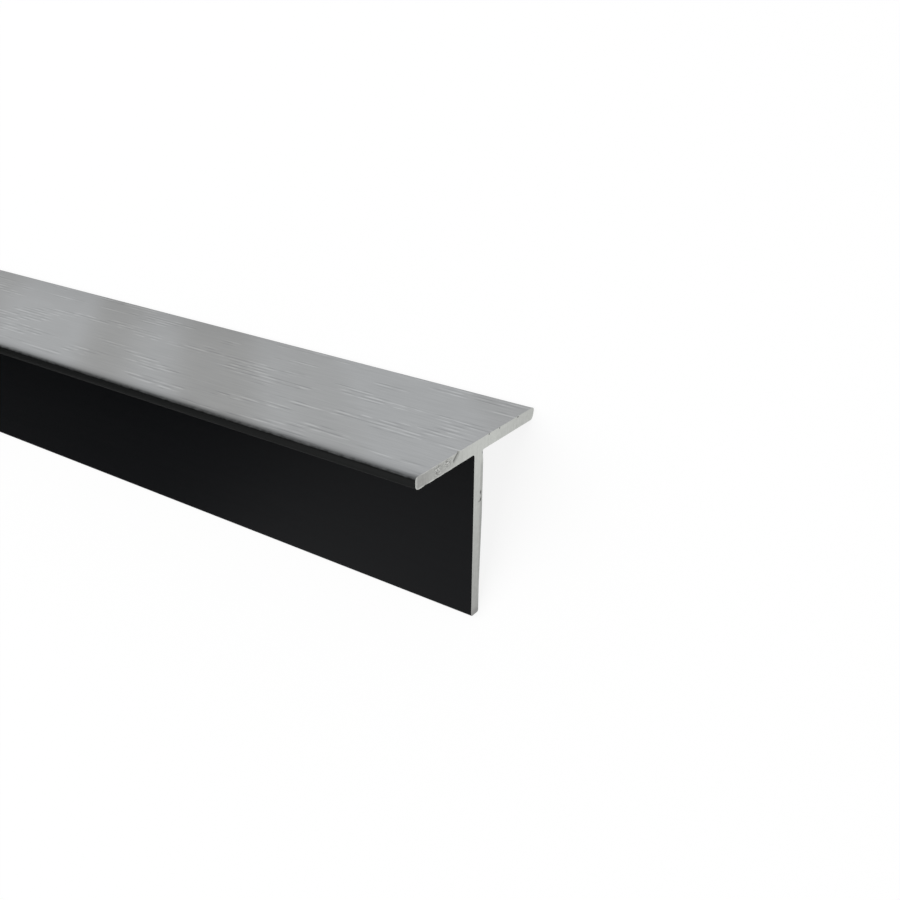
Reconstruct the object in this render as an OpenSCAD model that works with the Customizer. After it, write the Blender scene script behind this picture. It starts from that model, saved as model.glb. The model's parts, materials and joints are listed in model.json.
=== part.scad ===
// Aluminium tee: a flat flange on a central stem, pressed through one die as one bar
// and cut off square with a saw at both ends.
//
// The section is drawn upright, with its stem's foot at the origin, and carried
// along X. The bar is then laid on its side, as it lies on a floor: it rests on
// the rounded lower corner of one flange edge and on one corner of the stem's foot.
// The brushed face of the flange looks to the front (-Y) and up.
// The origin is at the centre of the floor area that the bar covers.

/* [Section] */
// Width of the flange, from edge to edge
flange_w = 25; // [15:1:60]
// Height of the section, from the stem's foot to the flange face
section_h = 24; // [15:1:60]
// Thickness of the flange
flange_t = 1.6; // [1.3:0.1:4]
// Thickness of the stem
stem_t = 1.6; // [1.3:0.1:4]

/* [Edges] */
// Radius of the flange's two outer corners, beside the brushed face
face_r = 0.4; // [0.1:0.05:0.5]
// Radius of the flange's two inner corners, on the stem's side
lip_r = 0.65; // [0.1:0.05:0.7]
// Radius of the two corners of the stem's foot
foot_r = 0.3; // [0.1:0.05:0.6]
// Radius of the fillets where the stem joins the flange
root_r = 0.35; // [0.1:0.05:1.5]

/* [Length] */
// Length of the bar between its sawn ends
bar_l = 1000; // [200:10:6000]

/* [Hidden] */
// Number of sides of a full circle at a corner
arc_sides = 48;
// Height of the flange's inner side above the stem's foot
flange_z = section_h - flange_t;
// Centre of the rounding at each corner on the +u half: face, lip, foot and root
face_c = [flange_w / 2 - face_r, section_h - face_r];
lip_c = [flange_w / 2 - lip_r, flange_z + lip_r];
foot_c = [stem_t / 2 - foot_r, foot_r];
root_c = [stem_t / 2 + root_r, flange_z - root_r];
// The floor touches the lip's and the foot's rounding on the -u side, so its
// outward direction in the section is square to their common tangent
rest_span = [foot_c.x - lip_c.x, lip_c.y - foot_c.y];
floor_dir = atan2(rest_span.y, rest_span.x) + acos((foot_r - lip_r) / norm(rest_span));
// Angle that the upright section is turned about the bar to lie on that tangent
lean = 270 - floor_dir;
// Furthest reach of the section in a direction, over all six rounded corners
function reach(dir) = max([
    for (corner = [[face_c, face_r], [lip_c, lip_r], [foot_c, foot_r]], side = [-1, 1])
        side * corner[0].x * cos(dir) + corner[0].y * sin(dir) + corner[1]
]);
// Reaches of the leaning section: down to the floor, to the front and to the back
floor_drop = reach(floor_dir);
front_reach = reach(180 - lean);
back_reach = reach(-lean);

// Piece between a square corner that points to +x +y and its rounding:
// taken off an outer corner, it rounds it, and added in an inner one, it fills it.
module corner_piece(r) {
    difference() {
        square(r);
        circle(r, $fn = arc_sides);
    }
}

// Upright tee section, with u across the flange and v up the stem
module tee_section() {
    difference() {
        union() {
            translate([-flange_w / 2, flange_z])
                square([flange_w, flange_t]);
            translate([-stem_t / 2, 0])
                square([stem_t, section_h - flange_t / 2]);
            for (side = [0, 1])
                mirror([side, 0])
                    translate(root_c)
                        mirror([1, 0])
                            corner_piece(root_r);
        }
        for (side = [0, 1])
            mirror([side, 0]) {
                translate(face_c)
                    corner_piece(face_r);
                translate(lip_c)
                    mirror([0, 1])
                        corner_piece(lip_r);
                translate(foot_c)
                    mirror([0, 1])
                        corner_piece(foot_r);
            }
    }
}

// The bar as it lies: its length along X, its brushed face to the front and up
module tee_bar() {
    color("silver")
        translate([0, (front_reach - back_reach) / 2, floor_drop])
            rotate([lean, 0, 0])
                rotate([90, 0, 90])
                    linear_extrude(bar_l, center = true)
                        tee_section();
}

tee_bar();
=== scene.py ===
"""Looks of a tee-shaped aluminium profile: brushed flange face, black coat elsewhere, sawn ends."""
import json

import bpy
import numpy as np
from mathutils import Matrix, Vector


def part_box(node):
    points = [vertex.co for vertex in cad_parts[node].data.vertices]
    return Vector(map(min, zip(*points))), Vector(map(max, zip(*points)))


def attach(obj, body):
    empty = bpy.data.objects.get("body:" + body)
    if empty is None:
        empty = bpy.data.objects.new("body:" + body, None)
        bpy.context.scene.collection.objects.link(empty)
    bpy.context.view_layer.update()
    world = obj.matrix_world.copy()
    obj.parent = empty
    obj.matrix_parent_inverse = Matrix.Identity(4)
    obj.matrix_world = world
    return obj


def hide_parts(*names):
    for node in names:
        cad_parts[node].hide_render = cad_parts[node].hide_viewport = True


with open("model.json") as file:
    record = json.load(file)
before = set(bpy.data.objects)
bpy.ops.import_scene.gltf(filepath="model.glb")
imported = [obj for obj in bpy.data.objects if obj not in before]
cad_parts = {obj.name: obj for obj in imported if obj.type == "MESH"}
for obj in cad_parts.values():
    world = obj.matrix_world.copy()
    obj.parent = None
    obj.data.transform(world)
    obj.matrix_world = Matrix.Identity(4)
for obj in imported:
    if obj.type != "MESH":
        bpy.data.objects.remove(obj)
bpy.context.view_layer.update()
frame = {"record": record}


# Tee bar
# One length of aluminium, pushed hot through a tee-shaped die, so its section is the same all along.
# It was coated black, its flat face was brushed bare again, and a saw cut it to length at both ends.

MM = 0.001
flange_width = 25.0
section_height = 24.0
flange_wall = 1.6
stem_wall = 1.6
face_radius = 0.4
lip_radius = 0.65
foot_radius = 0.3
root_radius = 0.35
flange_under = section_height - flange_wall

mounts = {mount["name"]: mount for mount in frame["record"]["mounts"]}
face_middle = np.array(mounts["flange_face"]["pos_m"])
face_up = np.array(mounts["flange_face"]["axis"])
face_across = np.array(mounts["upper_stem_side"]["axis"])
bar_low, bar_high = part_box("tee_bar")
bar_length = (bar_high.x - bar_low.x) / MM


def quarter(centre, radius, start, end, steps=10):
    """A quarter circle: centre + radius (cos a, sin a), a running evenly from start to end in degrees."""
    angle = np.radians(np.linspace(start, end, steps + 1))
    return np.array(centre) + radius * np.stack([np.cos(angle), np.sin(angle)], axis=1)


def lengths(points):
    """The distance from the first point of a line to each of its points, along the line."""
    steps = np.linalg.norm(np.diff(points, axis=0), axis=1)
    return np.concatenate([[0.0], np.cumsum(steps)])


def tee_section(flange_steps=110, stem_steps=140):
    """The section's closed outline in mm, with a point on the walls' middle line for each of its points.

    Half of the outline runs from the middle of the face round the lip, along the underside, round the root
    and down the stem to the middle of the foot. The other half is its mirror image. Points on the flat
    faces pair with middle points at the same share of the wall's length, and each rounded corner pairs
    with the end of its wall. Returns outline, index of the paired middle point, middle points."""
    lip_u = flange_width / 2
    middle_v = section_height - flange_wall / 2
    flange_end = lip_u - flange_wall / 2
    stem_end = stem_wall / 2
    root_u = stem_wall / 2 + root_radius
    root_v = flange_under - root_radius
    flange_share = np.linspace(0, 1, flange_steps + 1)
    stem_share = np.linspace(0, 1, stem_steps + 1)[1:]
    face_u = flange_share * (lip_u - face_radius)
    face = np.stack([face_u, np.full_like(face_u, section_height)], axis=1)
    face_corner = quarter((lip_u - face_radius, section_height - face_radius), face_radius, 90, 0)
    lip_corner = quarter((lip_u - lip_radius, flange_under + lip_radius), lip_radius, 0, -90)
    root = quarter((root_u, root_v), root_radius, 90, 180)
    inner = np.concatenate([lip_corner[-1:], root, [[stem_wall / 2, foot_radius]]])
    inner_along = lengths(inner)
    stem_length = middle_v - stem_end
    middle_along = np.concatenate([flange_share * flange_end, flange_end + stem_share * stem_length])
    middle_marks = [0, flange_end - root_u, flange_end + middle_v - root_v, flange_end + stem_length]
    inner_marks = inner_along[[0, 1, -2, -1]]
    inner_wanted = np.interp(middle_along, middle_marks, inner_marks)
    inner_u = np.interp(inner_wanted, inner_along, inner[:, 0])
    inner_v = np.interp(inner_wanted, inner_along, inner[:, 1])
    foot_corner = quarter((stem_wall / 2 - foot_radius, foot_radius), foot_radius, 0, -90)
    rounding = np.concatenate([face_corner[1:], lip_corner[:-1]])
    foot = np.concatenate([foot_corner[1:], [[0.0, 0.0]]])
    half = np.concatenate([face, rounding, np.stack([inner_u, inner_v], axis=1), foot])

    flange_nodes = np.arange(flange_steps + 1)
    stem_nodes = flange_steps + 1 + np.arange(stem_steps)
    half_pairs = np.concatenate([
        flange_nodes,
        np.full(len(rounding), flange_steps),
        flange_nodes[::-1],
        stem_nodes,
        np.full(len(foot), stem_nodes[-1]),
    ])
    mirrored_nodes = np.where(
        (half_pairs > 0) & (half_pairs <= flange_steps), half_pairs + flange_steps + stem_steps, half_pairs
    )
    outline = np.concatenate([half, half[-2:0:-1] * [-1, 1]])
    pairs = np.concatenate([half_pairs, mirrored_nodes[-2:0:-1]])
    flange_middle = np.stack([flange_share * flange_end, np.full(flange_steps + 1, middle_v)], axis=1)
    stem_middle = np.stack([np.zeros(stem_steps), middle_v - stem_share * stem_length], axis=1)
    middles = np.concatenate([flange_middle, stem_middle, flange_middle[1:] * [-1, 1]])
    return outline, pairs, middles


outline, middle_pair, middles = tee_section()
outline_count = len(outline)
around = np.append(lengths(outline), lengths(outline[[-1, 0]])[-1])
around[-1] += around[-2]
girth = around[-1]
foot_point = outline_count // 2

# Saw damage, in mm across the section from its stem and up from its foot. The left end has the marks that
# show on the cut, and the right end has a few of its own. Each row of torn metal or dragged coat is the
# middle of a patch and its half widths. The blade left each wall on its lower side, and rolled a burr over
# the edges there, most between two heights up the stem.
gouge_left = np.array([[4.0, 24.0], [4.95, 23.15]])
gouge_right = np.array([[-7.2, 24.0], [-6.6, 23.4]])
gouge_width = 0.16
gouge_depth = 0.3
torn_left = np.array([[6.3, 23.45, 0.6, 0.5], [8.2, 23.25, 0.65, 0.6]])
torn_right = np.array([[-3.0, 23.5, 0.6, 0.5], [0.1, 9.0, 0.5, 0.9]])
torn_pits = 44
torn_depth = 0.05
pit_scatter = 0.6
pit_widths = (0.1, 0.2)
drag_left = np.array([[-0.85, 22.05, 0.1, 0.22], [-0.86, 20.8, 0.06, 0.5], [-0.84, 18.7, 0.07, 0.6],
                      [-0.7, 16.9, 0.16, 0.4], [-0.71, 15.9, 0.14, 0.3], [-0.41, 15.8, 0.09, 0.09],
                      [-8.8, 23.9, 0.2, 0.1], [-4.6, 23.9, 0.14, 0.1], [-2.3, 23.9, 0.16, 0.1]])
drag_right = np.array([[0.8, 19.0, 0.12, 0.5], [0.82, 6.0, 0.14, 0.4], [-0.8, 12.0, 0.12, 0.3]])
burr_height = 0.06
burr_width = 0.09
burr_waves = 6
burr_wave_turns = (0.6, 4.0)
burr_growth = 0.7
burr_mean = 0.75
burr_swing = 1.3
rolled_most = 0.3
rolled_reach = 0.35
rolled_heights = [4, 14, 21, flange_under]
rolled_shares = [0, 1, 1, 0.5]
floor_gap = 0.03


def place(along, section):
    """Frame position in metres of a point, from its mm along the bar and (across, up) in the section."""
    from_left = (bar_low.x + along * MM)[..., None] * np.array([1.0, 0.0, 0.0])
    from_face = section[..., :1] * face_across + (section[..., 1:] - section_height) * face_up
    return from_left + from_face * MM + face_middle * [0, 1, 1]


def spread(places, spots):
    """A sum of bell-shaped spots: each row of spots is its middle and its half widths across and up."""
    away = (places[..., None, :] - spots[:, :2]) / spots[:, 2:]
    return np.exp(-(away ** 2).sum(axis=-1)).sum(axis=-1)


def saw_marks(places, inset, gouge, torn, drag, seed):
    """How far the cut lies behind its plane in mm, and its shares of groove, torn metal, coat and burr.

    A gouge is a groove along a line, a bell curve of the distance to it. Torn metal is a crowd of small
    bell-shaped pits and lumps inside each patch. A burr stands proud of the rim and falls off with inset,
    the distance from the rim, and its height wanders along the rim as a sum of sine waves."""
    random = np.random.default_rng(seed)
    line = gouge[1] - gouge[0]
    share = np.clip(((places - gouge[0]) @ line) / (line @ line), 0, 1)
    from_line = np.linalg.norm(places - gouge[0] - share[..., None] * line, axis=-1)
    groove = np.exp(-(from_line / gouge_width) ** 2)
    patch = random.integers(len(torn), size=torn_pits)
    pit_middles = torn[patch, :2] + torn[patch, 2:] * random.normal(0, pit_scatter, (torn_pits, 2))
    pit_width = random.uniform(*pit_widths, (torn_pits, 1))
    pit_depth = torn_depth * random.uniform(-1, 1, torn_pits)
    away = (places[..., None, :] - pit_middles) / pit_width
    pitting = (np.exp(-(away ** 2).sum(axis=-1)) * pit_depth).sum(axis=-1)
    waves = random.uniform(*burr_wave_turns, (burr_waves, 2))
    phases = random.uniform(0, 2 * np.pi, burr_waves)
    wander = np.sin(places @ waves.T + phases).mean(axis=-1)
    towards_lip = np.clip(places[..., 0] / (flange_width / 2), 0, 1) ** burr_growth
    uneven = np.clip(burr_mean + burr_swing * wander, 0, 1)
    burr = np.exp(-(inset / burr_width) ** 2) * towards_lip * uneven
    depth = gouge_depth * groove + pitting - burr_height * burr
    return depth, groove, np.clip(spread(places, torn), 0, 1), np.clip(spread(places, drag), 0, 1), burr


def rolled_burr():
    """How far the blade rolled each point of the rim outwards, in mm, towards the section's lower side.

    It is the share by which the rim faces that side, less at the lip and towards the foot, and never
    reaches the floor."""
    along_rim = np.roll(outline, -1, axis=0) - np.roll(outline, 1, axis=0)
    facing = np.clip(along_rim[:, 1] / np.linalg.norm(along_rim, axis=1), 0, 1)
    up_stem = np.interp(outline[:, 1], rolled_heights, rolled_shares)
    above_floor = place(np.zeros(outline_count), outline)[:, 2] / MM - floor_gap
    return np.minimum(rolled_most * facing * up_stem, np.clip(above_floor / face_across[2], 0, None))


# The outline is carried along the bar at these distances from each end, closest by the sawn edges, and a
# cut end closes in rings at these shares of the way from its rim to the middle line.
end_steps = np.array([0, 0.05, 0.12, 0.25, 0.5, 1.0, 2.5, 8.0, 25.0, 60.0])
strip_count = 4
strip_length = bar_length / strip_count
folds = strip_length * np.arange(1, strip_count)
stations = np.concatenate([end_steps, folds, bar_length - end_steps[::-1]])
cap_shares = np.array([0, 0.06, 0.14, 0.25, 0.4, 0.58, 0.78, 1.0])
mark_reach = 1.0


def cut_end(gouge, torn, drag, seed):
    """One sawn end: the outline shrinks onto the middle line of its walls, outline + (middle - outline) t.

    Its rim is first rolled out towards the lower side. Returns its places in the section and its marks."""
    rings = outline + (middles[middle_pair] - outline) * cap_shares[:, None, None]
    inset = np.linalg.norm(rings - outline, axis=-1)
    rings[..., 0] -= rolled * np.exp(-(inset / burr_width) ** 2)
    middle_inset = np.full(len(middles), flange_wall / 2)
    places = np.concatenate([rings[:-1].reshape(-1, 2), middles])
    insets = np.concatenate([inset[:-1].ravel(), middle_inset])
    return places, saw_marks(places, insets, gouge, torn, drag, seed)


rolled = rolled_burr()
left_places, left_marks = cut_end(gouge_left, torn_left, drag_left, seed=11)
right_places, right_marks = cut_end(gouge_right, torn_right, drag_right, seed=23)
left_cut = left_marks[0][:outline_count]
right_cut = right_marks[0][:outline_count]
from_left = stations[:, None]
from_right = bar_length - from_left
side_along = from_left + left_cut * np.clip(1 - from_left / mark_reach, 0, 1)
side_along = side_along - right_cut * np.clip(1 - from_right / mark_reach, 0, 1)
side_section = np.tile(outline, (len(stations), 1, 1))
side_section[..., 0] -= rolled * np.clip(1 - np.minimum(from_left, from_right) / rolled_reach, 0, 1)
side_points = place(side_along, side_section)
left_points = place(left_marks[0][outline_count:], left_places[outline_count:])
right_points = place(bar_length - right_marks[0][outline_count:], right_places[outline_count:])
points = np.concatenate([side_points.reshape(-1, 3), left_points, right_points])

side_index = np.arange(len(stations) * outline_count).reshape(len(stations), outline_count)
cap_rings = len(cap_shares) - 2


def cap_index(rim, first):
    """Vertex numbers of a cut end, ring by ring, from the rim to the middle line that closes it."""
    inner_rings = first + np.arange(cap_rings * outline_count).reshape(cap_rings, outline_count)
    closing = first + cap_rings * outline_count + middle_pair
    return np.concatenate([rim[None], inner_rings, closing[None]])


left_index = cap_index(side_index[0], side_index.size)
right_index = cap_index(side_index[-1], side_index.size + len(left_points))


def grid_corners(grid):
    """The four corners of every cell of a grid whose second direction closes on itself, in turn."""
    following = np.roll(grid, -1, axis=1)
    corners = np.stack([grid[:-1], grid[1:], following[1:], following[:-1]], axis=-1)
    return corners.reshape(-1, 4)


side_faces = grid_corners(side_index)
left_faces = grid_corners(left_index)[:, ::-1]
right_faces = grid_corners(right_index)
faces = np.concatenate([side_faces, left_faces, right_faces])

around_cells = np.stack([around[:-1], around[:-1], around[1:], around[1:]], axis=-1)
around_cells[foot_point:] -= girth
station_cells = np.stack([stations[:-1], stations[1:], stations[1:], stations[:-1]], axis=-1)
side_uv = np.stack([
    np.repeat(station_cells, outline_count, axis=0),
    np.tile(around_cells, (len(stations) - 1, 1)),
], axis=-1)
section_of = np.concatenate([
    np.tile(outline, (len(stations), 1)), left_places[outline_count:], right_places[outline_count:]
])
pattern_uv = np.concatenate([side_uv, section_of[left_faces], section_of[right_faces]])

# A second map is for baking the finishes: the bar's length is folded into strips that lie above one another,
# with most of their width for the brushed face and its lips, and the two cut ends sit on top.
bake_edge = 0.004
strip_pitch = 0.182
strip_tall = 0.176
face_share = 0.76
lips_share = 0.88
past_face = 0.35
past_lips = 2.7
brushed_reach = flange_width / 2 + past_face
lips_reach = flange_width / 2 + past_lips
cap_scale = 0.0098
left_cap = np.array([0.25, 0.738])
right_cap = np.array([0.75, 0.738])
strip_of = np.minimum(side_uv[..., 0].mean(axis=-1) // strip_length, strip_count - 1)[:, None]
in_strip = side_uv[..., 0] / strip_length - strip_of
across_strip = np.interp(
    side_uv[..., 1],
    [-girth / 2, -lips_reach, -brushed_reach, brushed_reach, lips_reach, girth / 2],
    [0, (1 - lips_share) / 2, (1 - face_share) / 2, (1 + face_share) / 2, (1 + lips_share) / 2, 1],
)
side_bake = np.stack([
    bake_edge + in_strip * (1 - 2 * bake_edge),
    bake_edge + strip_of * strip_pitch + across_strip * strip_tall,
], axis=-1)
left_bake = section_of[left_faces] * cap_scale + left_cap
right_bake = section_of[right_faces] * cap_scale + right_cap
bake_uv = np.concatenate([side_bake, left_bake, right_bake])

brushed_slot, coat_slot, sawn_slot = range(3)
coated = np.abs(around_cells.mean(axis=-1)) > brushed_reach
face_slot = np.concatenate([
    np.tile(np.where(coated, coat_slot, brushed_slot), len(stations) - 1),
    np.full(len(left_faces) + len(right_faces), sawn_slot),
])
pointed = faces[:, 1] == faces[:, 2]
corner_kept = np.ones(faces.shape, bool)
corner_kept[pointed, 2] = False
corner_lists = [face[kept].tolist() for face, kept in zip(faces, corner_kept)]

bar_mesh = bpy.data.meshes.new("tee_bar_finished")
bar_mesh.from_pydata(points.tolist(), [], corner_lists)
pattern_map = bar_mesh.uv_layers.new(name="along_and_around")
pattern_map.uv.foreach_set("vector", (pattern_uv[corner_kept] * MM).astype(np.float32).ravel())
bake_map = bar_mesh.uv_layers.new(name="OFBake")
bake_map.uv.foreach_set("vector", bake_uv[corner_kept].astype(np.float32).ravel())
bar_mesh.polygons.foreach_set("material_index", face_slot)
bar_mesh.polygons.foreach_set("use_smooth", np.ones(len(faces), bool))
sharpest_smooth = 38
bar_mesh.set_sharp_from_angle(angle=np.radians(sharpest_smooth))

plain_sides = np.zeros(side_index.size)
for number, name in enumerate(("groove", "torn_metal", "dragged_coat", "burr"), start=1):
    shares = plain_sides.copy()
    shares[:outline_count] = left_marks[number][:outline_count]
    shares[-outline_count:] = right_marks[number][:outline_count]
    ends = [left_marks[number][outline_count:], right_marks[number][outline_count:]]
    attribute = bar_mesh.attributes.new(name, "FLOAT", "POINT")
    attribute.data.foreach_set("value", np.concatenate([shares, *ends]).astype(np.float32))
bar_mesh.update()


def linear(colour):
    """An sRGB hex colour as linear red, green, blue and alpha.

    It is the standard's own curve: a straight line for the darkest shares, and a power of the rest."""
    share = np.array([int(colour[at:at + 2], 16) for at in (1, 3, 5)]) / 255
    values = np.where(share <= 0.04045, share / 12.92, ((share + 0.055) / 1.055) ** 2.4)
    return (*values, 1.0)


def add(tree, kind, inputs=(), **settings):
    """Adds a node with its settings. Each input, in order or by name, is a socket to link or a value."""
    node = tree.nodes.new(kind)
    for name, value in settings.items():
        setattr(node, name, value)
    for name, value in inputs.items() if isinstance(inputs, dict) else enumerate(inputs):
        if isinstance(value, bpy.types.NodeSocket):
            tree.links.new(value, node.inputs[name])
        else:
            node.inputs[name].default_value = value
    return node


def new_finish(name):
    """A material with an empty node tree, and its node tree."""
    finish = bpy.data.materials.new(name)
    finish.use_nodes = True
    finish.node_tree.nodes.clear()
    return finish, finish.node_tree


def mm(*sizes):
    """Sizes in mm as the scale of a Mapping node of the texture kind, so that each repeat is that long."""
    return tuple(size * MM for size in sizes)


# A Mix node's two numbers, two colours and mixed colour, which share their names with other sockets.
number_a = 2
number_b = 3
colour_a = 6
colour_b = 7
mixed_colour = 2

# Brushed aluminium: the belt leaves fine scratches along the length, in bundles where the grit bit deeper,
# so the eye gets a grey sheen with short bright and dark dashes. Soft slanting bands by the left end are a
# painted reflection of the surroundings, slightly warm where dark, and they fade further along the bar. Real
# scratches are about 0.03 mm wide. They are drawn ten times as wide or more, because finer ones don't show
# in the render.
# The coat was left on the roundings. It thins out as a haze where the belt ran off the upper lip. Away from
# the left end, painted shade darkens the face a little towards the lower lip, in the same dark colour.
hair_size = mm(7, 0.3, 1)
hair_detail = 3.0
hair_weight = 0.42
hair_rough = (0.28, 0.4)
usual_noise = (0.3, 0.7)
line_size = mm(15, 0.86, 1)
wave_radians = 20
line_repeat = 2 * np.pi / wave_radians
line_wander = 2.6
line_detail = 2.0
break_size = mm(3.2, 0.6, 1)
break_edge = (0.42, 0.54)
scratch_depth = 0.48
scratch_dark = -0.21
scratch_relief = 0.25
scratch_height = 0.01 * MM
bundle_size = mm(15, 3, 1)
bundle_start = (-0.06, 0.0525, 0)
bundle_edge = (0.53, 0.6)
bundle_least = 0.03
endless = 1e6
# Painted reflection: soft slanting lighter and darker bands, slightly warm where dark, calmer away from the
# left end.
reflection_band_size = mm(23.5, endless, 1)
reflection_band_start = (0.324, 0, 0)
reflection_band_slant = (0, 0, np.radians(45))
reflection_band_edge = (0.42, 0.56)
reflection_band_calm_reach = (0.12, 0.3)
reflection_band_calm = 0.7
reflection_band_middle = 0.75
reflection_band_least = 0.207
reflection_band_depth = 0.165
reflection_band_tint = linear("#FFFDFA")
plain_tint = linear("#FFFFFF")
broad_detail = 1.0
dark_metal = linear("#6E7073")
bright_metal = linear("#C6C8C9")
gloss_stretch = 0.6
gloss_turn = 0.25
grazing_grey = linear("#E0E0E0")
upper_coat_edge = 12.36 * MM
lower_coat_edge = 12.53 * MM
haze_reach = (-3.6 * MM, 0.0)
haze_steepness = 5.3
haze_most = 0.8
# Painted shade: the face darkens a little towards the lower lip, away from the left end.
lower_lip_shade_reach = (-9 * MM, 0.0)
lower_lip_shade_start = (0.03, 0.06)
lower_lip_shade_most = 0.14
haze_and_shade_black = linear("#303132")
ragged_size = mm(1, 0.4, 1)
ragged_detail = 4.0
ragged_depth = 0.4 * MM
coat_step = (0.1 * MM, 0.48 * MM)
edge_black = linear("#101111")
coat_shine = 0.084
brushed, tree = new_finish("brushed_aluminium")
surface = add(tree, "ShaderNodeUVMap", uv_map="along_and_around").outputs[0]
surface_parts = add(tree, "ShaderNodeSeparateXYZ", [surface])
length_way = surface_parts.outputs["X"]
girth_way = surface_parts.outputs["Y"]
hair_place = add(tree, "ShaderNodeMapping", {"Vector": surface, "Scale": hair_size}, vector_type="TEXTURE")
hair = add(tree, "ShaderNodeTexNoise", {
    "Vector": hair_place.outputs[0], "Scale": 1.0, "Detail": hair_detail
}).outputs[0]
line_place = add(tree, "ShaderNodeMapping", {"Vector": surface, "Scale": line_size}, vector_type="TEXTURE")
line = add(tree, "ShaderNodeTexWave", {
    "Vector": line_place.outputs[0],
    "Scale": line_repeat,
    "Distortion": line_wander,
    "Detail": line_detail,
    "Detail Scale": 1.0,
}, bands_direction="Y").outputs["Fac"]
break_place = add(tree, "ShaderNodeMapping", {
    "Vector": surface, "Scale": break_size
}, vector_type="TEXTURE")
breaks = add(tree, "ShaderNodeTexNoise", {
    "Vector": break_place.outputs[0], "Scale": 1.0, "Detail": broad_detail
}).outputs[0]
unbroken = add(tree, "ShaderNodeMapRange", [breaks, *break_edge, 0.0, 1.0]).outputs[0]
scratch = add(tree, "ShaderNodeMath", [
    line, scratch_depth, scratch_dark
], operation="MULTIPLY_ADD").outputs[0]
scratch = add(tree, "ShaderNodeMath", [scratch, unbroken], operation="MULTIPLY").outputs[0]
bundle_place = add(tree, "ShaderNodeMapping", {
    "Vector": surface, "Location": bundle_start, "Scale": bundle_size
}, vector_type="TEXTURE")
bundle = add(tree, "ShaderNodeTexNoise", {
    "Vector": bundle_place.outputs[0], "Scale": 1.0, "Detail": broad_detail
}).outputs[0]
bundle_share = add(tree, "ShaderNodeMapRange", [bundle, *bundle_edge, bundle_least, 1.0]).outputs[0]
# The painted reflection bands, their fade along the bar and their warm tint.
reflection_band_place = add(tree, "ShaderNodeMapping", {
    "Vector": surface, "Location": reflection_band_start, "Rotation": reflection_band_slant, "Scale": reflection_band_size
}, vector_type="TEXTURE")
reflection_band = add(tree, "ShaderNodeTexNoise", {
    "Vector": reflection_band_place.outputs[0], "Scale": 1.0, "Detail": broad_detail
}).outputs[0]
reflection_band_share = add(tree, "ShaderNodeMapRange", [
    reflection_band, *reflection_band_edge, 0.0, 1.0
], interpolation_type="SMOOTHSTEP").outputs[0]
reflection_fade = add(tree, "ShaderNodeMapRange", [length_way, *reflection_band_calm_reach, 0.0, reflection_band_calm]).outputs[0]
reflection_band_share = add(tree, "ShaderNodeMix", {
    "Factor": reflection_fade, number_a: reflection_band_share, number_b: reflection_band_middle
}).outputs[0]
reflection_band_tone = add(tree, "ShaderNodeMath", [
    reflection_band_share, reflection_band_depth, reflection_band_least
], operation="MULTIPLY_ADD").outputs[0]
# The tone adds the painted reflection bands to the scratches and the hair noise.
tone_and_reflection = add(tree, "ShaderNodeMath", [scratch, bundle_share, reflection_band_tone], operation="MULTIPLY_ADD").outputs[0]
tone_and_reflection = add(tree, "ShaderNodeMath", [hair, hair_weight, tone_and_reflection], operation="MULTIPLY_ADD").outputs[0]
metal = add(tree, "ShaderNodeMix", {
    "Factor": tone_and_reflection, colour_a: dark_metal, colour_b: bright_metal
}, data_type="RGBA").outputs[mixed_colour]
reflection_tint = add(tree, "ShaderNodeMix", {
    "Factor": reflection_band_share, colour_a: reflection_band_tint, colour_b: plain_tint
}, data_type="RGBA").outputs[mixed_colour]
metal = add(tree, "ShaderNodeMix", {
    "Factor": 1.0, colour_a: metal, colour_b: reflection_tint
}, data_type="RGBA", blend_type="MULTIPLY").outputs[mixed_colour]
past_upper = add(tree, "ShaderNodeMath", [girth_way, upper_coat_edge], operation="SUBTRACT").outputs[0]
past_lower = add(tree, "ShaderNodeMath", [
    girth_way, -1.0, -lower_coat_edge
], operation="MULTIPLY_ADD").outputs[0]
past_edge = add(tree, "ShaderNodeMath", [past_upper, past_lower], operation="MAXIMUM").outputs[0]
haze_and_shade = add(tree, "ShaderNodeMapRange", [past_upper, *haze_reach, 0.0, 1.0]).outputs[0]
haze_and_shade = add(tree, "ShaderNodeMath", [haze_and_shade, haze_steepness], operation="POWER").outputs[0]
haze_and_shade = add(tree, "ShaderNodeMath", [haze_and_shade, haze_most], operation="MULTIPLY").outputs[0]
# Painted shade by the lower lip, added to the upper lip's coat haze.
lower_lip_shade = add(tree, "ShaderNodeMapRange", [past_lower, *lower_lip_shade_reach, 0.0, 1.0]).outputs[0]
lower_lip_shade_share = add(tree, "ShaderNodeMapRange", [
    length_way, *lower_lip_shade_start, 0.0, lower_lip_shade_most
]).outputs[0]
haze_and_shade = add(tree, "ShaderNodeMath", [lower_lip_shade, lower_lip_shade_share, haze_and_shade], operation="MULTIPLY_ADD").outputs[0]
hazed_and_shaded = add(tree, "ShaderNodeMix", {
    "Factor": haze_and_shade, colour_a: metal, colour_b: haze_and_shade_black
}, data_type="RGBA").outputs[mixed_colour]
ragged_place = add(tree, "ShaderNodeMapping", {
    "Vector": surface, "Scale": ragged_size
}, vector_type="TEXTURE")
ragged = add(tree, "ShaderNodeTexNoise", {
    "Vector": ragged_place.outputs[0], "Scale": 1.0, "Detail": ragged_detail
}).outputs[0]
coat_line = add(tree, "ShaderNodeMath", [
    ragged, ragged_depth, past_edge
], operation="MULTIPLY_ADD").outputs[0]
coat_share = add(tree, "ShaderNodeMapRange", [coat_line, *coat_step, 0.0, 1.0]).outputs[0]
brushed_colour = add(tree, "ShaderNodeMix", {
    "Factor": coat_share, colour_a: hazed_and_shaded, colour_b: edge_black
}, data_type="RGBA").outputs[mixed_colour]
bare_share = add(tree, "ShaderNodeMath", [1.0, coat_share], operation="SUBTRACT").outputs[0]
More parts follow.
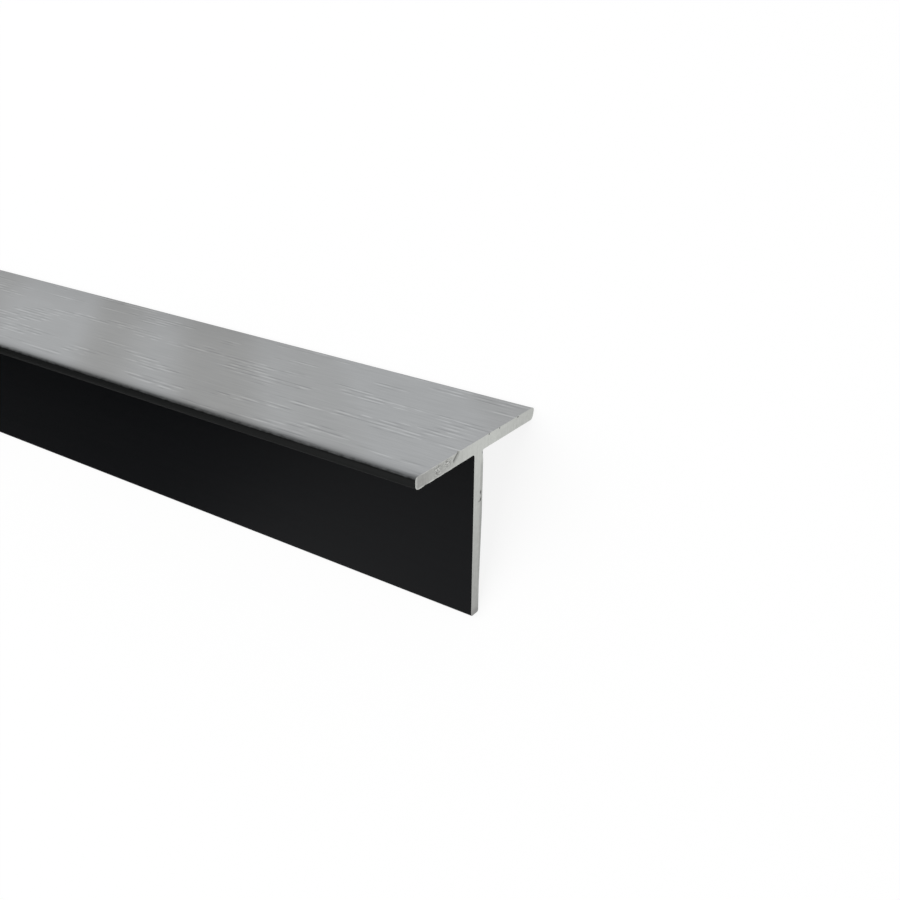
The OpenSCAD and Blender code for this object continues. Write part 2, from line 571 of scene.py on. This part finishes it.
brushed_rough = add(tree, "ShaderNodeMapRange", [hair, *usual_noise, *hair_rough]).outputs[0]
brushed_bump = add(tree, "ShaderNodeBump", {
    "Strength": scratch_relief, "Distance": scratch_height, "Height": tone_and_reflection
}).outputs[0]
brushed_way = add(tree, "ShaderNodeTangent", direction_type="UV_MAP", uv_map="along_and_around").outputs[0]
brushed_shader = add(tree, "ShaderNodeBsdfPrincipled", {
    "Base Color": brushed_colour,
    "Metallic": bare_share,
    "Roughness": brushed_rough,
    "Specular IOR Level": coat_shine,
    "Specular Tint": grazing_grey,
    "Anisotropic": gloss_stretch,
    "Anisotropic Rotation": gloss_turn,
    "Normal": brushed_bump,
    "Tangent": brushed_way,
})
add(tree, "ShaderNodeOutputMaterial", [brushed_shader.outputs[0]])

# Satin black coat: a thin even film, so the eye gets a deep black with hardly any sheen and no grain from
# afar. A fine orange peel of 0.4 mm softens the reflections. The lips are painted a little paler as a
# painted sheen, and handling has rubbed their inner roundings matt.
peel_size = mm(0.4, 0.4, 1)
peel_detail = 2.0
peel_rough = (0.38, 0.46)
peel_relief = 0.2
peel_height = 0.02 * MM
drawn_size = mm(90, 1.2, 1)
drawn_detail = 3.0
coat_blacks = {colour_a: linear("#06070A"), colour_b: linear("#0C0D0F")}
# Painted sheen: the lips get a paler black. The same mask makes their inner roundings matt.
rub_and_sheen_reach = (14.2 * MM, 15.0 * MM)
painted_lip_sheen = linear("#181919")
worn_reach = (13.1 * MM, 13.5 * MM)
worn_rough = 0.8
coat, tree = new_finish("satin_black_coat")
surface = add(tree, "ShaderNodeUVMap", uv_map="along_and_around").outputs[0]
girth_way = add(tree, "ShaderNodeSeparateXYZ", [surface]).outputs["Y"]
from_face_middle = add(tree, "ShaderNodeMath", [girth_way], operation="ABSOLUTE").outputs[0]
peel_place = add(tree, "ShaderNodeMapping", {"Vector": surface, "Scale": peel_size}, vector_type="TEXTURE")
peel = add(tree, "ShaderNodeTexNoise", {
    "Vector": peel_place.outputs[0], "Scale": 1.0, "Detail": peel_detail
}).outputs[0]
rub_and_sheen = add(tree, "ShaderNodeMapRange", [
    from_face_middle, *rub_and_sheen_reach, 1.0, 0.0
], interpolation_type="SMOOTHSTEP").outputs[0]
drawn_place = add(tree, "ShaderNodeMapping", {
    "Vector": surface, "Scale": drawn_size
}, vector_type="TEXTURE")
drawn = add(tree, "ShaderNodeTexNoise", {
    "Vector": drawn_place.outputs[0], "Scale": 1.0, "Detail": drawn_detail
}).outputs[0]
coat_plain = add(tree, "ShaderNodeMix", {
    "Factor": drawn, **coat_blacks
}, data_type="RGBA").outputs[mixed_colour]
# Painted sheen: the lips turn the paler black.
coat_colour = add(tree, "ShaderNodeMix", {
    "Factor": rub_and_sheen, colour_a: coat_plain, colour_b: painted_lip_sheen
}, data_type="RGBA").outputs[mixed_colour]
plain_rough = add(tree, "ShaderNodeMapRange", [peel, *usual_noise, *peel_rough]).outputs[0]
worn = add(tree, "ShaderNodeMapRange", [from_face_middle, *worn_reach, 0.0, 1.0]).outputs[0]
worn = add(tree, "ShaderNodeMath", [worn, rub_and_sheen], operation="MULTIPLY").outputs[0]
coat_rough = add(tree, "ShaderNodeMapRange", [worn, 0.0, 1.0, plain_rough, worn_rough]).outputs[0]
coat_bump = add(tree, "ShaderNodeBump", {
    "Strength": peel_relief, "Distance": peel_height, "Height": peel
}).outputs[0]
coat_shader = add(tree, "ShaderNodeBsdfPrincipled", {
    "Base Color": coat_colour,
    "Roughness": coat_rough,
    "Specular IOR Level": coat_shine,
    "Normal": coat_bump,
})
add(tree, "ShaderNodeOutputMaterial", [coat_shader.outputs[0]])

# Sawn aluminium: the blade leaves pale torn metal with fine kerf lines, so the eye gets a bright matt face.
# It is painted darker towards the upper lip and the foot, most in the foot's last mm, and along the rolled
# edge of the stem, as painted shade. It is also darker towards the lower lip, and bright again on the rim of
# the upper lip, with black coat dragged over one edge and a bright burr. The gouges are painted dark grey in
# their grooves, as painted shade.
# Kerf lines are 0.1 mm apart in the real cut and are drawn at 0.25 mm, and torn grain is drawn at 0.22 mm.
kerf_size = mm(0.25, 4, 1)
kerf_detail = 2.0
kerf_weight = 0.15
kerf_rough = (0.42, 0.58)
kerf_relief = 0.2
kerf_height = 0.02 * MM
mottle_size = mm(0.5, 0.5, 1)
mottle_detail = 3.0
mottle_weight = 0.45
tear_size = mm(0.22, 0.22, 1)
tear_detail = 2.0
# Painted shade: darker towards the upper lip, the foot and its last mm, and along the rolled edge of the
# stem.
upper_lip_reach = (1 * MM, 12 * MM)
upper_lip_shade_most = 0.85
lower_lip_reach = (-3 * MM, -9 * MM)
lower_lip_dull = 0.22
foot_reach = (22 * MM, 0.0)
foot_shade_most = 0.75
foot_end_reach = (1.2 * MM, 0.0)
foot_end_shade_most = 0.5
rolled_edge_reach = (-0.45 * MM, -0.7 * MM)
rolled_edge_shade_most = 0.42
rolled_edge_top = (21.3 * MM, 20.5 * MM)
rolled_edge_foot = (4 * MM, 12 * MM)
lip_rim_reach = (11.95 * MM, 12.3 * MM)
lip_rim_dull = -0.6
sawn_greys = {colour_a: linear("#C4C6C2"), colour_b: linear("#949492")}
torn_greys = {colour_a: linear("#C8C9C6"), colour_b: linear("#6A6A68")}
torn_grain = (0.44, 0.56)
# Painted shade: the gouge's groove is painted dark grey.
groove_shade_grey = linear("#4A4A49")
burr_grey = linear("#DADBD8")
dragged_black = linear("#2A2B2B")
drag_edge_weight = 0.8
drag_step = (0.7, 1.1)
drag_most = 0.85
sawn, tree = new_finish("sawn_aluminium")
section_way = add(tree, "ShaderNodeUVMap", uv_map="along_and_around").outputs[0]
section_parts = add(tree, "ShaderNodeSeparateXYZ", [section_way])
across = section_parts.outputs["X"]
up = section_parts.outputs["Y"]
groove = add(tree, "ShaderNodeAttribute", attribute_name="groove").outputs["Fac"]
torn = add(tree, "ShaderNodeAttribute", attribute_name="torn_metal").outputs["Fac"]
dragged = add(tree, "ShaderNodeAttribute", attribute_name="dragged_coat").outputs["Fac"]
burr = add(tree, "ShaderNodeAttribute", attribute_name="burr").outputs["Fac"]
kerf_place = add(tree, "ShaderNodeMapping", {
    "Vector": section_way, "Scale": kerf_size
}, vector_type="TEXTURE")
kerf = add(tree, "ShaderNodeTexNoise", {
    "Vector": kerf_place.outputs[0], "Scale": 1.0, "Detail": kerf_detail
}).outputs[0]
mottle_place = add(tree, "ShaderNodeMapping", {
    "Vector": section_way, "Scale": mottle_size
}, vector_type="TEXTURE")
mottle = add(tree, "ShaderNodeTexNoise", {
    "Vector": mottle_place.outputs[0], "Scale": 1.0, "Detail": mottle_detail
}).outputs[0]
tear_place = add(tree, "ShaderNodeMapping", {
    "Vector": section_way, "Scale": tear_size
}, vector_type="TEXTURE")
tear = add(tree, "ShaderNodeTexNoise", {
    "Vector": tear_place.outputs[0], "Scale": 1.0, "Detail": tear_detail
}).outputs[0]
# The painted shade masks, the lower lip's darkening and the upper lip's bright rim.
upper_lip_shade = add(tree, "ShaderNodeMapRange", [across, *upper_lip_reach, 0.0, upper_lip_shade_most]).outputs[0]
lower_dull = add(tree, "ShaderNodeMapRange", [across, *lower_lip_reach, 0.0, lower_lip_dull]).outputs[0]
foot_shade = add(tree, "ShaderNodeMapRange", [up, *foot_reach, 0.0, foot_shade_most]).outputs[0]
foot_end_shade = add(tree, "ShaderNodeMapRange", [up, *foot_end_reach, 0.0, foot_end_shade_most]).outputs[0]
rolled_edge_shade = add(tree, "ShaderNodeMapRange", [across, *rolled_edge_reach, 0.0, rolled_edge_shade_most]).outputs[0]
below_root = add(tree, "ShaderNodeMapRange", [up, *rolled_edge_top, 0.0, 1.0]).outputs[0]
above_foot = add(tree, "ShaderNodeMapRange", [up, *rolled_edge_foot, 0.0, 1.0]).outputs[0]
rolled_edge_shade = add(tree, "ShaderNodeMath", [rolled_edge_shade, below_root], operation="MULTIPLY").outputs[0]
rolled_edge_shade = add(tree, "ShaderNodeMath", [rolled_edge_shade, above_foot], operation="MULTIPLY").outputs[0]
rim_dull = add(tree, "ShaderNodeMapRange", [across, *lip_rim_reach, 0.0, lip_rim_dull]).outputs[0]
grain_middle = -(kerf_weight + mottle_weight) / 2
grain = add(tree, "ShaderNodeMath", [kerf, kerf_weight, grain_middle], operation="MULTIPLY_ADD").outputs[0]
grain = add(tree, "ShaderNodeMath", [mottle, mottle_weight, grain], operation="MULTIPLY_ADD").outputs[0]
# Painted shade and grain together pick between the two sawn greys.
shade_and_grain = upper_lip_shade
for more_shade in (lower_dull, foot_shade, foot_end_shade, rolled_edge_shade, rim_dull):
    shade_and_grain = add(tree, "ShaderNodeMath", [shade_and_grain, more_shade], operation="ADD").outputs[0]
shade_and_grain = add(tree, "ShaderNodeMath", [shade_and_grain, grain], operation="ADD", use_clamp=True).outputs[0]
sawn_plain = add(tree, "ShaderNodeMix", {
    "Factor": shade_and_grain, **sawn_greys
}, data_type="RGBA").outputs[mixed_colour]
torn_dark = add(tree, "ShaderNodeMapRange", [tear, *torn_grain, 0.0, 1.0]).outputs[0]
torn_colour = add(tree, "ShaderNodeMix", {
    "Factor": torn_dark, **torn_greys
}, data_type="RGBA").outputs[mixed_colour]
sawn_torn = add(tree, "ShaderNodeMix", {
    "Factor": torn, colour_a: sawn_plain, colour_b: torn_colour
}, data_type="RGBA").outputs[mixed_colour]
# Painted shade in the gouge's groove.
sawn_groove_shade = add(tree, "ShaderNodeMix", {
    "Factor": groove, colour_a: sawn_torn, colour_b: groove_shade_grey
}, data_type="RGBA").outputs[mixed_colour]
sawn_burr = add(tree, "ShaderNodeMix", {
    "Factor": burr, colour_a: sawn_groove_shade, colour_b: burr_grey
}, data_type="RGBA").outputs[mixed_colour]
drag_edge = add(tree, "ShaderNodeMath", [
    mottle, drag_edge_weight, dragged
], operation="MULTIPLY_ADD").outputs[0]
drag_share = add(tree, "ShaderNodeMapRange", [drag_edge, *drag_step, 0.0, drag_most]).outputs[0]
sawn_colour = add(tree, "ShaderNodeMix", {
    "Factor": drag_share, colour_a: sawn_burr, colour_b: dragged_black
}, data_type="RGBA").outputs[mixed_colour]
sawn_rough = add(tree, "ShaderNodeMapRange", [kerf, *usual_noise, *kerf_rough]).outputs[0]
torn_height = add(tree, "ShaderNodeMath", [torn, tear, kerf], operation="MULTIPLY_ADD").outputs[0]
sawn_bump = add(tree, "ShaderNodeBump", {
    "Strength": kerf_relief, "Distance": kerf_height, "Height": torn_height
}).outputs[0]
sawn_shader = add(tree, "ShaderNodeBsdfPrincipled", {
    "Base Color": sawn_colour,
    "Metallic": 1.0,
    "Roughness": sawn_rough,
    "Normal": sawn_bump,
})
add(tree, "ShaderNodeOutputMaterial", [sawn_shader.outputs[0]])

for finish in (brushed, coat, sawn):
    bar_mesh.materials.append(finish)
bar = bpy.data.objects.new("tee_bar_finished", bar_mesh)
bpy.context.scene.collection.objects.link(bar)
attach(bar, "root")
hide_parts("tee_bar")


# Floor and surroundings
# A wide pale studio floor under a white surround. It isn't part of the bar, and only keeps its shadow.
# To the camera and in reflections the floor is nearly white by itself, a little more so far off, where the
# soft box lights it less. To all other light it is plain pale paper.

floor_radius = 8.0
floor_sides = 96
near_glow = 0.88
far_glow = 0.925
glow_reach = (0.8, 3.0)
paper_white = linear("#FFFFFF")
paper_grey = linear("#E4E4E4")
shaded_grey = linear("#696969")
turn = np.linspace(0, 2 * np.pi, floor_sides, endpoint=False)
rim_points = floor_radius * np.stack([np.cos(turn), np.sin(turn), np.zeros(floor_sides)], axis=1)
floor_mesh = bpy.data.meshes.new("pale_floor")
floor_mesh.from_pydata(rim_points.tolist(), [], [list(range(floor_sides))])


def seen_rays(tree):
    """1 for rays from the camera and for mirrored and let-through ones, else 0: the largest of three."""
    rays = add(tree, "ShaderNodeLightPath").outputs
    seen = add(tree, "ShaderNodeMath", [
        rays["Is Camera Ray"], rays["Is Glossy Ray"]
    ], operation="MAXIMUM").outputs[0]
    return add(tree, "ShaderNodeMath", [seen, rays["Is Transmission Ray"]], operation="MAXIMUM").outputs[0]


paper, tree = new_finish("pale_paper")
plain_paper = add(tree, "ShaderNodeBsdfDiffuse", {"Color": paper_grey})
floor_place = add(tree, "ShaderNodeTexCoord").outputs["Object"]
from_bar = add(tree, "ShaderNodeVectorMath", [floor_place], operation="LENGTH")
glow = add(tree, "ShaderNodeMapRange", [from_bar.outputs["Value"], *glow_reach, near_glow, far_glow])
white_paper = add(tree, "ShaderNodeEmission", {"Color": paper_white, "Strength": glow.outputs[0]})
shaded_paper = add(tree, "ShaderNodeBsdfDiffuse", {"Color": shaded_grey})
bright_paper = add(tree, "ShaderNodeAddShader", [white_paper.outputs[0], shaded_paper.outputs[0]])
paper_shader = add(tree, "ShaderNodeMixShader", [
    seen_rays(tree), plain_paper.outputs[0], bright_paper.outputs[0]
])
add(tree, "ShaderNodeOutputMaterial", [paper_shader.outputs[0]])
floor_mesh.materials.append(paper)
floor = bpy.data.objects.new("pale_floor", floor_mesh)
bpy.context.scene.collection.objects.link(floor)

surround_light = 0.5
surround_white = linear("#FFFFFF")
surround = bpy.data.worlds.new("white_surround")
surround.use_nodes = True
tree = surround.node_tree
tree.nodes.clear()
brightness = add(tree, "ShaderNodeMapRange", {
    "Value": seen_rays(tree), "To Min": surround_light, "To Max": 1.0
})
backdrop = add(tree, "ShaderNodeBackground", {
    "Color": surround_white, "Strength": brightness.outputs[0]
})
add(tree, "ShaderNodeOutputWorld", [backdrop.outputs[0]])
bpy.context.scene.world = surround


# Black card
# A matt black card leans behind the bar, as photographers set one, so that the coat doesn't mirror white.
# Only reflections show it: it casts no shadow, and the camera doesn't see it.

card_left = -0.4
card_right = 1.4
card_foot = 0.074
card_back = 0.205
card_tall = 1.48
felt_black = linear("#060606")
card_points = np.array([
    [card_left, card_foot, 0], [card_right, card_foot, 0],
    [card_right, card_back, card_tall], [card_left, card_back, card_tall],
])
card_mesh = bpy.data.meshes.new("black_card")
card_mesh.from_pydata(card_points.tolist(), [], [[0, 1, 2, 3]])
felt, tree = new_finish("black_felt")
felt_shader = add(tree, "ShaderNodeBsdfDiffuse", {"Color": felt_black})
add(tree, "ShaderNodeOutputMaterial", [felt_shader.outputs[0]])
card_mesh.materials.append(felt)
card = bpy.data.objects.new("black_card", card_mesh)
card.visible_camera = False
card.visible_diffuse = False
card.visible_shadow = False
bpy.context.scene.collection.objects.link(card)


# Studio light
# A large soft box hangs level above the bar and gives the rest of an even, plain light from above.
# It is fixed to nothing that shows, and the camera doesn't see it.

box_wide = 1.4
box_deep = 0.9
box_height = 1.1
box_watts = 7.0
box_light = bpy.data.lights.new("soft_box", "AREA")
box_light.shape = "RECTANGLE"
box_light.size = box_wide
box_light.size_y = box_deep
box_light.energy = box_watts
soft_box = bpy.data.objects.new("soft_box", box_light)
soft_box.location = (0, 0, box_height)
soft_box.visible_camera = False
bpy.context.scene.collection.objects.link(soft_box)


# Camera
# It stands beyond the left cut end, above the flange face and off the upper lip, and looks back along the
# bar. Its place is in mm from the middle of the face's edge at that end, in the section's directions.

photo_pixels = 900
focal_pixels = 1051.8
film_width = 36.0
beyond_end = 60.432
off_side = 94.162
above_face = 49.817
heading = np.radians(55.60676)
pitch = np.radians(24.58398)
roll = np.radians(-0.63446)
nearest_seen = 5 * MM
end_out = np.array([-1.0, 0.0, 0.0])
end_middle = face_middle * [0, 1, 1] + [bar_low.x, 0, 0]
eye = end_middle + (beyond_end * end_out + off_side * face_across + above_face * face_up) * MM
level_way = -np.cos(heading) * end_out - np.sin(heading) * face_across
forward = np.cos(pitch) * level_way - np.sin(pitch) * face_up
level_right = np.sin(heading) * end_out - np.cos(heading) * face_across
level_down = np.cross(forward, level_right)
right = np.cos(roll) * level_right + np.sin(roll) * level_down
down = np.cos(roll) * level_down - np.sin(roll) * level_right
camera_data = bpy.data.cameras.new("photo_camera")
camera_data.sensor_width = film_width
camera_data.lens = focal_pixels / photo_pixels * film_width
camera_data.clip_start = nearest_seen
camera = bpy.data.objects.new("photo_camera", camera_data)
turned = np.eye(4)
turned[:3, :3] = np.stack([right, -down, -forward], axis=1)
turned[:3, 3] = eye
camera.matrix_world = Matrix(turned.tolist())
bpy.context.scene.collection.objects.link(camera)
bpy.context.scene.camera = camera
bpy.context.scene.view_settings.view_transform = "Standard"
